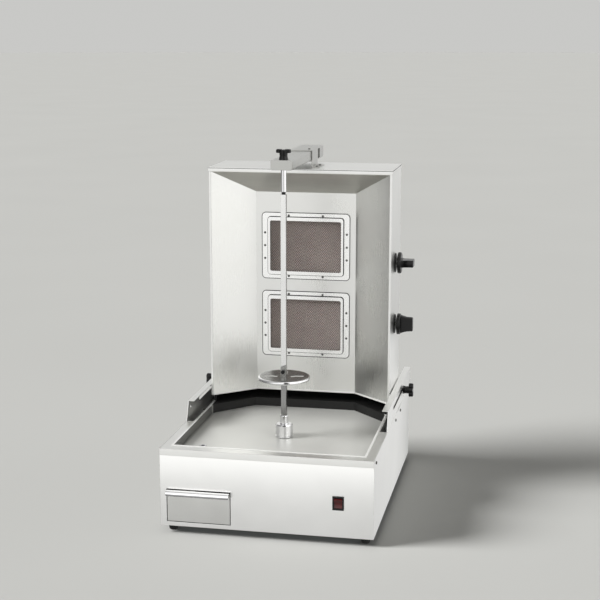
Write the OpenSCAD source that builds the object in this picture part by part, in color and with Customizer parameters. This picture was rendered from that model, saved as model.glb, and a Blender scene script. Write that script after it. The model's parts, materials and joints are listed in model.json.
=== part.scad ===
// Gas-fired vertical rotisserie (doner grill), table-top model.
// A low base holds the drip pan, the spit drive and the fat drawer. A heating
// head with two infrared burners slides on rails behind the spit, and carries
// an arm whose centre screw steadies the spit's top end.
//
// Frame: +Z up, the front faces -Y, the feet stand on z = 0 and the origin is
// the middle of the footprint. Parts are drawn in the base's own coordinates
// (x from the middle, y back from the front panel, z up from the base's
// underside), and in_base() carries them into the frame. Millimetres.

/* [Base] */
// Width of the base
base_w = 476; // [460:1:500]
// Depth of the base, front panel to rear panel
base_d = 628; // [620:1:660]
// Height of the base without its feet
base_h = 177; // [170:1:190]
// Height of the feet
foot_h = 18; // [12:1:30]
// Thickness of the stainless sheet
sheet = 1.2; // [1:0.1:1.5]
// Height of the lip that folds down over the front panel
lip_h = 15; // [10:1:25]

/* [Drip pan] */
// Width of the pan inside its walls
pan_w = 426; // [400:1:430]
// Depth from the rim to the pan's floor
pan_drop = 19; // [15:1:25]
// Front wall of the pan, from the front panel
pan_front_y = 29; // [25:1:40]
// Where the pan's sides turn inwards
pan_side_y = 354; // [340:1:370]
// Back wall of the pan
pan_back_y = 446; // [430:1:460]
// Width of the pan's back wall
pan_back_w = 248; // [230:1:260]
// Width of the hem round the pan's top edge
hem_w = 4.5; // [3:0.5:6]

/* [Slide rails] */
// Height of the rails' top flange above the base's underside
rail_top_z = 222; // [218:1:230]
// Front end of the top flange
rail_front_y = 231; // [225:1:240]
// Rear end of the rails
rail_back_y = 655; // [650:1:665]
// Front end of the slot that the clamp studs run in
slot_front_y = 322; // [318:1:330]
// Rear end of the slot
slot_back_y = 506; // [504:1:512]

/* [Heating head] */
// Width of the head
head_w = 439; // [430:1:440]
// Front of the head, from the front panel
head_front_y = 378; // [375:1:385]
// Depth of the head
head_d = 168; // [165:1:180]
// Underside of the head
head_bottom_z = 197; // [195:1:200]
// Top of the head
head_top_z = 757; // [750:1:757]
// Width of the back reflector
back_refl_w = 246; // [240:1:250]
// Depth of the recess, front flange to back reflector
recess_d = 80.4; // [78:0.1:84]
// Height of the hood's front edge
hood_front_z = 746.5; // [740:0.5:747]
// Height of the hood's back edge
hood_back_z = 692; // [685:1:700]

/* [Burners] */
// Centre height of the upper burner
upper_burner_z = 560.5; // [555:0.5:565]
// Centre height of the lower burner
lower_burner_z = 367; // [360:1:375]
// Width of a burner frame's flange
frame_w = 215; // [205:1:220]
// Height of a burner frame's flange
frame_h = 161; // [155:1:165]
// Width of the raised ring
ring_w = 186; // [184:1:190]
// Height of the raised ring
ring_h = 141; // [138:1:144]
// Width of the glowing window
window_w = 175; // [170:1:178]
// Height of the glowing window
window_h = 124; // [120:1:126]

/* [Gas valves] */
// Height of the upper gas knob
upper_valve_z = 528; // [520:1:540]
// Height of the lower gas knob
lower_valve_z = 378; // [370:1:390]
// Distance of the gas knobs from the front panel
valve_y = 458; // [455:1:460]
// Diameter of a gas knob's skirt
knob_d = 51; // [48:1:54]
// How far a gas knob's tip stands from the middle
knob_tip_x = 264; // [260:1:266]

/* [Spit] */
// Distance of the spit's axis from the front panel
spit_y = 200; // [195:1:200]
// Side of the square bar
bar_w = 12; // [12:0.5:12.5]
// Top of the bar
bar_top_z = 718; // [710:1:718]
// Diameter of the drive hub
hub_d = 39.5; // [38:0.5:42]
// Diameter of the meat disc
disc_d = 120; // [110:1:125]
// Height of the meat disc
disc_z = 302; // [295:1:320]

/* [Top arm] */
// Width of the arm
arm_w = 47.5; // [45:0.5:50]
// Height of the arm's section
arm_h = 22; // [20:1:24]
// Underside of the arm
arm_z = 774; // [774:1:778]
// Front end of the arm
arm_front_y = 174; // [170:1:178]
// Rear end of the arm
arm_back_y = 545; // [540:1:546]
// Diameter of the centre screw
screw_d = 12.3; // [12:0.1:12.5]

/* [Drawer] */
// Left edge of the drawer's front, from the middle
drawer_x0 = -222; // [-224:1:-220]
// Right edge of the drawer's front
drawer_x1 = -80; // [-82:1:-76]
// Bottom of the drawer's front
drawer_z0 = 11; // [10:1:14]
// Top of the drawer's front
drawer_z1 = 84; // [80:1:86]
// Depth of the drawer's tray
drawer_d = 248; // [220:1:260]
// How far the pull stands in front of the panel
pull_out = 16; // [14:1:18]

/* [Switch] */
// Distance of the switch from the middle
switch_x = 160.5; // [150:0.5:170]
// Height of the switch
switch_z = 77.8; // [70:0.1:85]

/* [Hidden] */
$fn = 48;
e = 0.01;
gap = 0.3;            // clearance between sliding pieces
fit = 0.05;           // radial clearance of a running fit
mid_y = 320;          // middle of the footprint, from the front panel
half_w = base_w / 2;
pan_z = base_h - pan_drop;
side_x = half_w - sheet;               // inner face of the side panels
deck_slot_x = 220;                     // inner edge of the deck's side slots
deck_slot_y = 217;                     // front end of the deck's side slots
rail_in_x = 222;                       // inner edge of the rails' top flange
slot_z = 203;
slot_r = 4.2;
stud_r = 4;
stud_y = 498;
drain = [-163.6, 91];
side_screw_y = [29, 358, 446];
side_screw_z = 165;
screw_hole_r = 2.1;
drawer_gap = 1.5;                      // round the drawer's front in its opening
louvre_pitch = 14;
louvre_h = 5;
rear_screws = [for (x = [-215, 215], z = [20, 150]) [x, z]];
foot_at = [for (x = [-217, 217], y = [30, base_d - 30]) [x, y]];
gland = [150, 45];

head_x = head_w / 2;
head_back_y = head_front_y + head_d;
flange_w = 5;                          // front flange of the head's sides
refl_front = [head_x - flange_w, head_front_y + sheet];
refl_back = [back_refl_w / 2, head_front_y + sheet + recess_d];
hood_angle = atan((hood_front_z - hood_back_z) / recess_d);
cover_gap = 0.1;
panel_top_z = head_top_z - sheet - cover_gap;
skirt_gap = 1.5;                       // the back panel's skirt over the deck
burner_zs = [lower_burner_z, upper_burner_z];
frame_y = refl_back[1];                // back of the burner frames' flange
box_y = frame_y + 1.8;
box_d = 43.6;
mixer_y = box_y + box_d + 14;
mixer_r = 12.5;
frame_screws = concat(
    [for (s = [-1, 1], z = [-31.5, 0, 31.5]) [s * 101, z]],
    [for (s = [-1, 1], z = [-74.5, 74.5]) [s * 42, z]]);

manifold = [203, 500];
manifold_r = 8;
inlet_z = 250;
inlet_r = 10.48;
inlet_len = 24;
valve_x0 = 172;
valve_x1 = 214;
feed_x = 180;
skirt_x = 226;
skirt_t = 9;
spindle_r = 4;

hub_top_z = 189;
collar_z = 209;
shaft_r = 8;
table_z = 104;
bracket = [62, 60];                    // half width and half depth of the motor's table
bracket_foot = 12;
disc_slot_w = 12;
disc_slot_r = [15, 45];                // inner and outer end of the disc's slots
tab_y = spit_y - bar_w / 2 - 3;

arm_top_z = arm_z + arm_h;
sleeve_y0 = 404;
sleeve_y1 = 548;
sleeve_foot_y = 472;
sleeve_window = [475, 499];
screw_r = screw_d / 2;
tip_z = 724;
tip_r = 4.5;
sleeve_screws = [for (x = [-35, 35], y = [418, 458]) [x, y]];
cap_screw = [14, 430];                 // on the sleeve's top

// ---------------------------------------------------------------- helpers

module in_base() {
    translate([0, -mid_y, foot_h]) children();
}

// A block between two corners
module block(a, b) {
    translate(a) cube(b - a);
}

// The same block on both sides of the middle plane
module block_pair(a, b) {
    for (s = [0, 1]) mirror([s, 0, 0]) block(a, b);
}

// A rod of radius r between two points that differ along one axis only
module rod(a, b, r) {
    d = b - a;
    turn = d[0] != 0 ? [0, 90, 0] : d[1] != 0 ? [-90, 0, 0] : [0, 0, 0];
    low = [min(a[0], b[0]), min(a[1], b[1]), min(a[2], b[2])];
    translate(low) rotate(turn) cylinder(r = r, h = norm(d));
}

// A rectangle with round corners, about the origin
module round_rect(w, h, r) {
    square([w - 2 * r, h], center = true);
    square([w, h - 2 * r], center = true);
    for (x = [-1, 1], y = [-1, 1])
        translate([x * (w / 2 - r), y * (h / 2 - r)]) circle(r);
}

// A round-cornered plate that stands in the XZ plane, from y0 to y1
module standing_plate(w, h, r, y0, y1, z) {
    translate([0, y1, z]) rotate([90, 0, 0]) linear_extrude(y1 - y0) round_rect(w, h, r);
}

// A four-walled outline: a rectangle whose back corners are cut off by
// diagonals, grown outwards by g
function cut_outline(half, y0, side_y, back_half, back_y, g) =
    let (d = [back_half - half, back_y - side_y],
         n = [d[1], -d[0]] / norm(d),
         side = [half + g, side_y + g * (1 - n[0]) / n[1]],
         back = [back_half + g * (1 - n[1]) / n[0], back_y + g])
    [[-half - g, y0 - g], [half + g, y0 - g], side, back,
     [-back[0], back[1]], [-side[0], side[1]]];

function pan_outline(g) =
    cut_outline(pan_w / 2, pan_front_y, pan_side_y, pan_back_w / 2, pan_back_y, g);

// The recess between the reflectors, open to the front, grown by g
function recess_outline(g) =
    let (d = refl_back - refl_front,
         n = [d[1], -d[0]] / norm(d),
         front = refl_front + g * n,
         back = [refl_back[0] + g * (1 - n[1]) / n[0], refl_back[1] + g])
    [[-front[0], front[1]], front, back, [-back[0], back[1]]];

// ------------------------------------------------------------------- base

module base_front_panel() {
    color("gainsboro") in_base() difference() {
        block([-half_w, 0, 0], [half_w, sheet, base_h - sheet]);
        block([drawer_x0 - drawer_gap, -1, drawer_z0 - drawer_gap],
              [drawer_x1 + drawer_gap, 3, drawer_z1 + drawer_gap]);
        block([switch_x - 11.2, -1, switch_z - 13.7], [switch_x + 11.2, 3, switch_z + 13.7]);
    }
}

module side_panel() {
    difference() {
        block([side_x, sheet, 0], [half_w, base_d - sheet, base_h]);
        for (y = side_screw_y)
            rod([side_x - 1, y, side_screw_z], [half_w + 1, y, side_screw_z], screw_hole_r);
    }
}

module base_left_panel() {
    color("gainsboro") in_base() mirror([1, 0, 0]) side_panel();
}

module base_right_panel() {
    color("gainsboro") in_base() side_panel();
}

module base_rear_panel() {
    color("gainsboro") in_base() difference() {
        block([-half_w, base_d - sheet, 0], [half_w, base_d, base_h]);
        for (p = rear_screws)
            rod([p[0], base_d - 3, p[1]], [p[0], base_d + 1, p[1]], screw_hole_r);
        rod([gland[0], base_d - 3, gland[1]], [gland[0], base_d + 1, gland[1]], 8.1);
        for (x = [-130, -50, 30], k = [0:4])
            translate([0, 0, 60 + louvre_pitch * k])
                block([x, base_d - 3, 0], [x + 60, base_d + 1, louvre_h]);
    }
}

module base_bottom_plate() {
    color("silver") in_base() difference() {
        block([-side_x, sheet, 0], [side_x, base_d - sheet, sheet]);
        for (p = foot_at) rod([p[0], p[1], -1], [p[0], p[1], 3], 3.1);
        for (k = [-3:3])
            block([90, 400 + 18 * k, -1], [170, 406 + 18 * k, 3]);
    }
}

module top_deck() {
    color("gainsboro") in_base() {
        difference() {
            union() {
                block([-half_w, -2, base_h - sheet], [half_w, sheet, base_h]);
                block([-side_x + 0.2, 0, base_h - sheet],
                      [side_x - 0.2, base_d - sheet - 0.2, base_h]);
                block([-half_w, -2, base_h - lip_h], [half_w, -2 + sheet, base_h]);
                block_pair([deck_slot_x - sheet, deck_slot_y - sheet, base_h - 22],
                           [deck_slot_x, base_d - sheet - 0.2, base_h]);
            }
            translate([0, 0, base_h - 30]) linear_extrude(40)
                polygon(pan_outline(sheet + 0.1));
            block_pair([deck_slot_x, deck_slot_y, base_h - 5], [half_w, base_d, base_h + 5]);
        }
    }
}

module drip_pan() {
    color("silver") in_base() difference() {
        union() {
            translate([0, 0, pan_z - sheet]) linear_extrude(base_h - pan_z + sheet)
                polygon(pan_outline(sheet));
            translate([0, 0, base_h]) linear_extrude(sheet) polygon(pan_outline(hem_w));
        }
        translate([0, 0, pan_z]) linear_extrude(50) polygon(pan_outline(0));
        rod([0, spit_y, pan_z - 5], [0, spit_y, pan_z + 5], 10.5);
        rod([drain[0], drain[1], pan_z - 5], [drain[0], drain[1], pan_z + 5], 5.2);
    }
}

module drain_spout() {
    color("whitesmoke") in_base() translate([drain[0], drain[1], 0]) rotate_extrude()
        polygon([[4.2, 120], [5.1, 120], [5.1, pan_z], [8, pan_z], [8, pan_z + 1.4],
                 [7.2, pan_z + 2.2], [4.2, pan_z + 2.2]]);
}

// Rail on the right side: an upright plate with a folded top flange
module slide_rail() {
    top = rail_top_z;
    difference() {
        union() {
            translate([side_x - sheet, 0, 0]) rotate([90, 0, 90]) linear_extrude(sheet)
                polygon([[deck_slot_y + 2, 150], [base_d - 2, 150], [base_d - 2, base_h + 0.3],
                         [rail_back_y, base_h + 0.3], [rail_back_y, top], [rail_front_y, top],
                         [deck_slot_y - 4, base_h + 1], [deck_slot_y - 4, base_h + 0.3],
                         [deck_slot_y + 2, base_h + 0.3]]);
            block([rail_in_x, rail_front_y, top - sheet], [side_x, rail_back_y, top]);
        }
        for (y = [slot_front_y + slot_r, slot_back_y - slot_r])
            rod([side_x - 5, y, slot_z], [half_w + 5, y, slot_z], slot_r);
        block([side_x - 5, slot_front_y + slot_r, slot_z - slot_r],
              [half_w + 5, slot_back_y - slot_r, slot_z + slot_r]);
        rod([side_x - 5, 247, slot_z + 1], [half_w + 5, 247, slot_z + 1], 3.5);
        for (y = [side_screw_y[1], side_screw_y[2]])
            rod([side_x - 5, y, side_screw_z], [half_w + 1, y, side_screw_z], screw_hole_r);
    }
}

module left_slide_rail() {
    color("whitesmoke") in_base() mirror([1, 0, 0]) slide_rail();
}

module right_slide_rail() {
    color("whitesmoke") in_base() slide_rail();
}

module feet() {
    color("black") in_base() for (p = foot_at) translate([p[0], p[1], 0]) {
        rotate_extrude() polygon([[0, -foot_h], [8, -foot_h], [9.4, 1.2 - foot_h],
                                  [12.5, -2], [12.5, 0], [3, 0], [3, 7], [0, 7]]);
    }
}

module drawer_runners() {
    middle = (drawer_x0 + drawer_x1) / 2;
    outer = (drawer_x1 - drawer_x0) / 2 + 4;
    color("silver") in_base() translate([middle, 0, 0]) {
        block_pair([outer, 4, sheet], [outer + sheet, 264, 42]);
        block_pair([outer - 16, 4, drawer_z0 - 2.2], [outer, 264, drawer_z0 - 1]);
    }
}

// Pan-head screw whose head stands on x = 0 and points along +X
module panel_screw() {
    rotate([0, 90, 0]) rotate_extrude()
        polygon([[0, -8], [2, -8], [2, 0], [3.6, 0], [3.4, 1.4], [2.2, 2.2], [0, 2.2]]);
}

module base_screws() {
    color("silver") in_base() {
        for (s = [0, 1], y = side_screw_y) mirror([s, 0, 0])
            translate([half_w, y, side_screw_z]) panel_screw();
        for (p = rear_screws)
            translate([p[0], base_d, p[1]]) rotate([0, 0, 90]) panel_screw();
    }
}

module switch_housing() {
    color("black") in_base() translate([switch_x, 0, switch_z]) difference() {
        union() {
            block([-12.5, -2.4, -15.5], [12.5, 0, 15.5]);
            block([-11.1, 0, -13.6], [11.1, 26, 13.6]);
            for (z = [-8, 0, 8]) block([-2.4, 26, z - 0.4], [2.4, 34, z + 0.4]);
        }
        block([-9.6, -3, -12], [9.6, 14, 12]);
        rod([-10.6, 3, 0], [10.6, 3, 0], 1.5 + fit);
    }
}

module mains_gland() {
    color("dimgray") in_base() translate([gland[0], base_d, gland[1]]) rotate([-90, 0, 0])
    difference() {
        union() {
            rotate_extrude() polygon([[4, -16], [8, -16], [8, 6], [10.5, 6], [10.5, 12],
                                      [9.3, 16], [6.5, 18], [4, 18]]);
            cylinder(r = 12.5, h = 6, $fn = 6);
            translate([0, 0, -7]) cylinder(r = 12.5, h = 7 - sheet, $fn = 6);
        }
        translate([0, 0, -20]) cylinder(r = 4, h = 40);
    }
}

// -------------------------------------------------------------- spit drive

module motor_bracket() {
    color("silver") in_base() translate([0, spit_y, 0]) {
        difference() {
            block([-bracket[0], -bracket[1], table_z], [bracket[0], bracket[1], table_z + 3]);
            rod([0, 0, table_z - 1], [0, 0, table_z + 5], 16);
        }
        block_pair([bracket[0] - 2, -bracket[1], sheet], [bracket[0], bracket[1], table_z]);
        block_pair([bracket[0], -bracket[1], sheet],
                   [bracket[0] + bracket_foot, bracket[1], sheet + 2]);
    }
}

module gearbox_case() {
    color("darkgray") in_base() translate([0, spit_y, 0]) difference() {
        union() {
            block([-38, -42, 62], [38, 48, table_z]);
            rod([0, 0, table_z], [0, 0, table_z + 8], 15);
        }
        rod([0, 0, 90], [0, 0, table_z + 20], shaft_r + fit);
    }
}

module motor_can() {
    color("gray") in_base() translate([0, spit_y + 14, 0]) rotate_extrude()
        polygon([[0, 6], [8, 6], [8, 9], [29, 9], [31, 11], [31, 62], [0, 62]]);
}

module spindle_bearing() {
    color("goldenrod") in_base() translate([0, spit_y, 0]) rotate_extrude()
        polygon([[shaft_r + fit, 138], [14, 138], [14, pan_z - sheet - 4],
                 [24, pan_z - sheet - 4], [24, pan_z - sheet], [shaft_r + fit, pan_z - sheet]]);
}

module spindle_shaft() {
    color("silver") in_base() rod([0, spit_y, 91], [0, spit_y, 178], shaft_r);
}

module drive_hub() {
    r = hub_d / 2;
    low = pan_z + 0.6;
    color("white") in_base() translate([0, spit_y, 0]) difference() {
        rotate_extrude() polygon([[0, low], [r - 1, low], [r, low + 1], [r, low + 3],
            [r - 1.4, low + 3.6], [r - 1.4, low + 5.4], [r, low + 6], [r, hub_top_z - 2.5],
            [r - 2.5, hub_top_z], [10.6, hub_top_z], [9.5, hub_top_z + 1.2],
            [9.5, collar_z - 1.2], [8.9, collar_z], [0, collar_z]]);
        rod([0, 0, 150], [0, 0, 178 + e], shaft_r + 0.02);
        block([-6.05, -6.05, 182 - e], [6.05, 6.05, collar_z + 5]);
    }
}

module skewer_bar() {
    h = bar_w / 2;
    color("whitesmoke") in_base() translate([0, spit_y, 0]) difference() {
        block([-h, -h, 182], [h, h, bar_top_z]);
        translate([0, 0, bar_top_z - 7]) cylinder(r1 = 0.9, r2 = 4, h = 7 + e);
    }
}

// Dished disc with a rolled edge, four slots and a tab that grips the bar
module meat_disc() {
    r = disc_d / 2;
    color("darkgray") in_base() translate([0, spit_y, disc_z]) difference() {
        union() {
            rotate_extrude() {
                translate([r - 4, -4]) circle(4);
                polygon([[0, -2.4], [22, -2.4], [26, -1.4], [r - 4, -1.4],
                         [r - 4, 0], [26, 0], [22, -1], [0, -1]]);
            }
            translate([0, 0, -11]) cylinder(r = 12, h = 10);
            translate([0, tab_y - spit_y, -1.5]) rotate([90, 0, 0]) linear_extrude(2)
                polygon([[-6, 0], [6, 0], [6, 28], [-6, 24]]);
        }
        block([-6.15, -6.15, -20], [6.15, 6.15, 5]);
        for (k = [0:3]) rotate([0, 0, 90 * k + 8])
            block([disc_slot_r[0], -disc_slot_w / 2, -20], [disc_slot_r[1], disc_slot_w / 2, 5]);
        translate([0, tab_y - spit_y + 3, 12]) rotate([90, 0, 0]) cylinder(r = 2 + fit, h = 8);
    }
}

module disc_screw() {
    color("black") in_base() translate([0, tab_y, disc_z + 12]) rotate([90, 0, 0]) {
        translate([0, 0, -2.6]) cylinder(r = 2, h = 5.4);
        translate([0, 0, 2.2]) cylinder(r = 4.5, h = 5);
    }
}

// ------------------------------------------------------------ heating head

// Right side panel with its front flange and the weld nut for the clamp stud
module head_side(holes) {
    difference() {
        union() {
            block([head_x - sheet, head_front_y, head_bottom_z],
                  [head_x, head_back_y - sheet, panel_top_z]);
            block([head_x - flange_w, head_front_y, head_bottom_z],
                  [head_x, head_front_y + sheet, panel_top_z]);
            rod([head_x - 14, stud_y, slot_z], [head_x - sheet, stud_y, slot_z], 5.7);
        }
        rod([head_x - 20, stud_y, slot_z], [head_x + 5, stud_y, slot_z], stud_r + fit);
        for (z = holes) rod([head_x - 5, valve_y, z], [head_x + 5, valve_y, z], 6.5);
    }
}

module head_left_panel() {
    color("lightgray") in_base() mirror([1, 0, 0]) head_side([]);
}

module head_right_panel() {
    color("lightgray") in_base() head_side([lower_valve_z, upper_valve_z]);
}

module head_back_panel() {
    y = head_back_y - sheet;
    w = head_x - sheet;
    color("lightgray") in_base() difference() {
        union() {
            block([-w, y, base_h + skirt_gap], [w, head_back_y, panel_top_z]);
            block_pair([w, y, head_bottom_z], [head_x, head_back_y, panel_top_z]);
        }
        rod([manifold[0], y - 2, inlet_z], [manifold[0], y + 4, inlet_z], 11.5);
        for (z0 = [300, 620], x = [-150, -40, 70], k = [0:5])
            translate([0, 0, z0 + louvre_pitch * k])
                block([x, y - 2, 0], [x + 80, y + 4, louvre_h]);
    }
}

module head_top_cover() {
    x = head_x + cover_gap + sheet;
    y0 = head_front_y - cover_gap - sheet;
    y1 = head_back_y + cover_gap + sheet;
    color("gainsboro") in_base() difference() {
        block([-x, y0, head_top_z - 10], [x, y1, head_top_z]);
        block([-x + sheet, y0 + sheet, head_top_z - 20], [x - sheet, y1 - sheet, head_top_z - sheet]);
    }
}

module head_bottom_plate() {
    w = head_x - sheet - 0.2;
    color("silver") in_base() translate([0, 0, head_bottom_z]) difference() {
        block([-w, head_front_y + sheet + 0.2, 0], [w, head_back_y - sheet - 0.2, sheet]);
        translate([0, 0, -1]) linear_extrude(5) polygon(recess_outline(sheet + 0.3));
        block([-refl_front[0] - 1, head_front_y - 5, -1], [refl_front[0] + 1, refl_front[1] + 1.6, 5]);
        block_pair([head_x - 16, stud_y - 8, -1], [head_x, stud_y + 8, 5]);
    }
}

// Everything below the hood's underside
module below_hood() {
    intersection() {
        children();
        translate([0, refl_front[1], hood_front_z]) rotate([-hood_angle, 0, 0])
            translate([-300, -100, -900]) cube([600, 1300, 900]);
    }
}

module back_reflector() {
    w = refl_back[0];
    y = refl_back[1];
    color("gainsboro") in_base() difference() {
        union() {
            below_hood() block([-w, y, head_bottom_z], [w, y + sheet, hood_front_z]);
            block([-w + 1, y - 0.8, head_bottom_z], [w - 1, y + sheet, head_bottom_z + 4]);
        }
        for (z = burner_zs) block([-95, y - 5, z - 68], [95, y + 5, z + 68]);
    }
}

module side_reflector() {
    d = refl_back - refl_front;
    n = [d[1], -d[0]] / norm(d);
    a = refl_front;
    b = refl_back;
    color("lightgray") in_base() {
        below_hood() translate([0, 0, head_bottom_z]) linear_extrude(600)
            polygon([a, b, b + sheet * n, a + sheet * n]);
        translate([0, 0, head_bottom_z]) linear_extrude(4)
            polygon([a - 0.8 * n, b - 0.8 * n, b + sheet * n, a + sheet * n]);
    }
}

module left_reflector() {
    mirror([1, 0, 0]) side_reflector();
}

module right_reflector() {
    side_reflector();
}

module hood_reflector() {
    color("darkgray") in_base() intersection() {
        translate([0, 0, head_bottom_z]) linear_extrude(600) polygon(recess_outline(sheet));
        translate([0, refl_front[1], hood_front_z]) rotate([-hood_angle, 0, 0])
            translate([-300, 0, 0]) cube([600, 200, sheet]);
    }
}

module burner_frame(z) {
    y = frame_y;
    color("whitesmoke") in_base() difference() {
        union() {
            standing_plate(frame_w, frame_h, 9, y - 1.5, y, z);
            standing_plate(ring_w, ring_h, 7, y - 6, y, z);
        }
        standing_plate(window_w, window_h, 4, y - 10, y + 5, z);
        for (p = frame_screws)
            rod([p[0], y - 5, z + p[1]], [p[0], y + 5, z + p[1]], 1.6);
    }
}

module upper_burner_frame() {
    burner_frame(upper_burner_z);
}

module lower_burner_frame() {
    burner_frame(lower_burner_z);
}

module burner_meshes() {
    color("gray") in_base() for (z = burner_zs)
        block([-92, frame_y + 0.3, z - 65], [92, frame_y + 1.5, z + 65]);
}

module burner_tiles() {
    color("rosybrown") in_base() for (z = burner_zs)
        block_pair([0.5, frame_y + 5, z - 64], [91, frame_y + 18, z + 64]);
}

module burner_boxes() {
    color("silver") in_base() for (z = burner_zs) difference() {
        block([-94.5, box_y, z - 67.5], [94.5, box_y + box_d, z + 67.5]);
        block([-93, box_y - 1, z - 66], [93, box_y + box_d - 1.5, z + 66]);
        rod([-60, box_y, z], [-60, box_y + 60, z], mixer_r - 1.5);
    }
}

// Venturi tube along the back of a burner box, with its bell mouth to the right
module mixer_tubes() {
    color("silver") in_base() for (z = burner_zs) difference() {
        union() {
            rod([-76, mixer_y, z], [140, mixer_y, z], mixer_r);
            rod([-60, box_y + box_d, z], [-60, mixer_y, z], mixer_r);
            translate([138, mixer_y, z]) rotate([0, 90, 0])
                cylinder(r1 = mixer_r, r2 = mixer_r + 4, h = 12);
        }
        rod([-74.5, mixer_y, z], [139, mixer_y, z], mixer_r - 1.5);
        rod([-60, box_y, z], [-60, mixer_y, z], mixer_r - 1.5);
        translate([138, mixer_y, z]) rotate([0, 90, 0])
            cylinder(r1 = mixer_r - 1.5, r2 = mixer_r + 2.6, h = 12 + e);
    }
}

module gas_injectors() {
    color("goldenrod") in_base() for (z = burner_zs) translate([0, mixer_y, z])
        rotate([0, 90, 0]) rotate_extrude()
            polygon([[0.6, 144], [2.5, 144], [4, 150], [6, 150], [6, 170], [0.6, 170]]);
}

// Copper tubes from each valve to its burner's injector. The valves sit at
// other heights than the burners, so each tube drops or rises behind the valve.
module feed_tube(z_valve, z_burner) {
    up = z_burner > z_valve ? 1 : -1;
    y_back = mixer_y;
    rod([feed_x, valve_y + 10, z_valve], [feed_x, y_back, z_valve], 3);
    translate([feed_x, y_back, z_valve]) sphere(3);
    rod([feed_x, y_back, min(z_valve, z_burner)], [feed_x, y_back, max(z_valve, z_burner)], 3);
    translate([feed_x, y_back, z_burner]) sphere(3);
    rod([170, y_back, z_burner], [feed_x, y_back, z_burner], 3);
}

module feed_tubes() {
    color("peru") in_base() {
        feed_tube(upper_valve_z, upper_burner_z);
        feed_tube(lower_valve_z, lower_burner_z);
    }
}

// Cross-recessed screw that stands on the face y = 0 and points along -Y
module cross_screw(r, h, shank) {
    rotate([90, 0, 0]) difference() {
        union() {
            cylinder(r1 = r, r2 = r * 0.7, h = h);
            translate([0, 0, -shank]) cylinder(r = 1.5, h = shank);
        }
        translate([-r * 0.6, -0.35, h - 0.8]) cube([r * 1.2, 0.7, 2]);
        translate([-0.35, -r * 0.6, h - 0.8]) cube([0.7, r * 1.2, 2]);
    }
}

module head_screws() {
    color("dimgray") in_base() {
        for (z = burner_zs, p = frame_screws)
            translate([p[0], frame_y - 1.5, z + p[1]]) cross_screw(2.9, 1.8, 1.4);
        translate([cap_screw[0], cap_screw[1], arm_top_z + 2.8]) rotate([-90, 0, 0])
            cross_screw(3.2, 2, 2);
        for (p = sleeve_screws)
            translate([p[0], p[1], head_top_z + 2]) rotate([-90, 0, 0]) cross_screw(3.2, 2, 1.9);
    }
}

module gas_manifold() {
    color("silver") in_base() difference() {
        union() {
            rod([manifold[0], manifold[1], inlet_z], [manifold[0], manifold[1], 548], manifold_r);
            for (z = [lower_valve_z, upper_valve_z])
                rod([manifold[0], valve_y + 10, z], [manifold[0], manifold[1], z], 6);
            translate([manifold[0], manifold[1], inlet_z]) cube(22, center = true);
            rod([manifold[0], manifold[1], inlet_z],
                [manifold[0], head_back_y + 4, inlet_z], manifold_r + 1);
            rod([manifold[0], head_back_y, inlet_z], [manifold[0], head_back_y + 4, inlet_z], 15);
            rod([manifold[0], head_back_y + 4, inlet_z],
                [manifold[0], head_back_y + 4 + inlet_len, inlet_z], inlet_r);
        }
        rod([manifold[0], manifold[1], inlet_z], [manifold[0], manifold[1], 540], 5);
        rod([manifold[0], manifold[1], inlet_z], [manifold[0], head_back_y + 50, inlet_z], 6);
    }
}

module valve_bodies() {
    color("goldenrod") in_base() for (z = [lower_valve_z, upper_valve_z]) difference() {
        union() {
            block([valve_x0, valve_y - 10, z - 12], [valve_x1, valve_y + 10, z + 12]);
            rod([valve_x1, valve_y, z], [head_x - sheet, valve_y, z], 9);
        }
        rod([186, valve_y, z], [head_x + 5, valve_y, z], spindle_r + fit);
    }
}

module knob_bezels() {
    color("black") in_base() for (z = [lower_valve_z, upper_valve_z])
        translate([head_x, valve_y, z]) rotate([0, 90, 0]) rotate_extrude()
            polygon([[6.5, 0], [23.5, 0], [23, 1.4], [6.5, 1.4]]);
}

module valve_spindle(z) {
    color("gold") in_base() difference() {
        rod([187, valve_y, z], [250, valve_y, z], spindle_r);
        block([skirt_x - 3, valve_y + spindle_r - 1.5, z - 5], [255, valve_y + 10, z + 5]);
    }
}

module upper_valve_spindle() {
    valve_spindle(upper_valve_z);
}

module lower_valve_spindle() {
    valve_spindle(lower_valve_z);
}

// Bar knob: a round skirt, and a grip that is a flat slice of a waisted bell
module gas_knob(z, turn) {
    r = knob_d / 2;
    long = knob_tip_x - skirt_x;
    color([0.06, 0.06, 0.06]) in_base() translate([skirt_x, valve_y, z]) rotate([turn, 0, 0])
    rotate([0, 90, 0]) difference() {
        union() {
            rotate_extrude() polygon([[0, 0], [r - 1, 0], [r, 1], [r, skirt_t - 3],
                [r - 1, skirt_t - 1], [r - 3, skirt_t], [0, skirt_t]]);
            intersection() {
                rotate_extrude() polygon([[0, 0], [r - 2, 0], [r - 3, skirt_t], [20, skirt_t + 7],
                    [18, skirt_t + 15], [17.2, long - 1.5], [16, long], [0, long]]);
                translate([0, 0, skirt_t - 1]) linear_extrude(long)
                    round_rect(17, 60, 2);
            }
        }
        translate([0, 0, -1]) cylinder(r = spindle_r + fit, h = 30);
    }
}

module upper_gas_knob() {
    gas_knob(upper_valve_z, 0);
}

module lower_gas_knob() {
    gas_knob(lower_valve_z, 90);
}

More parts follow.
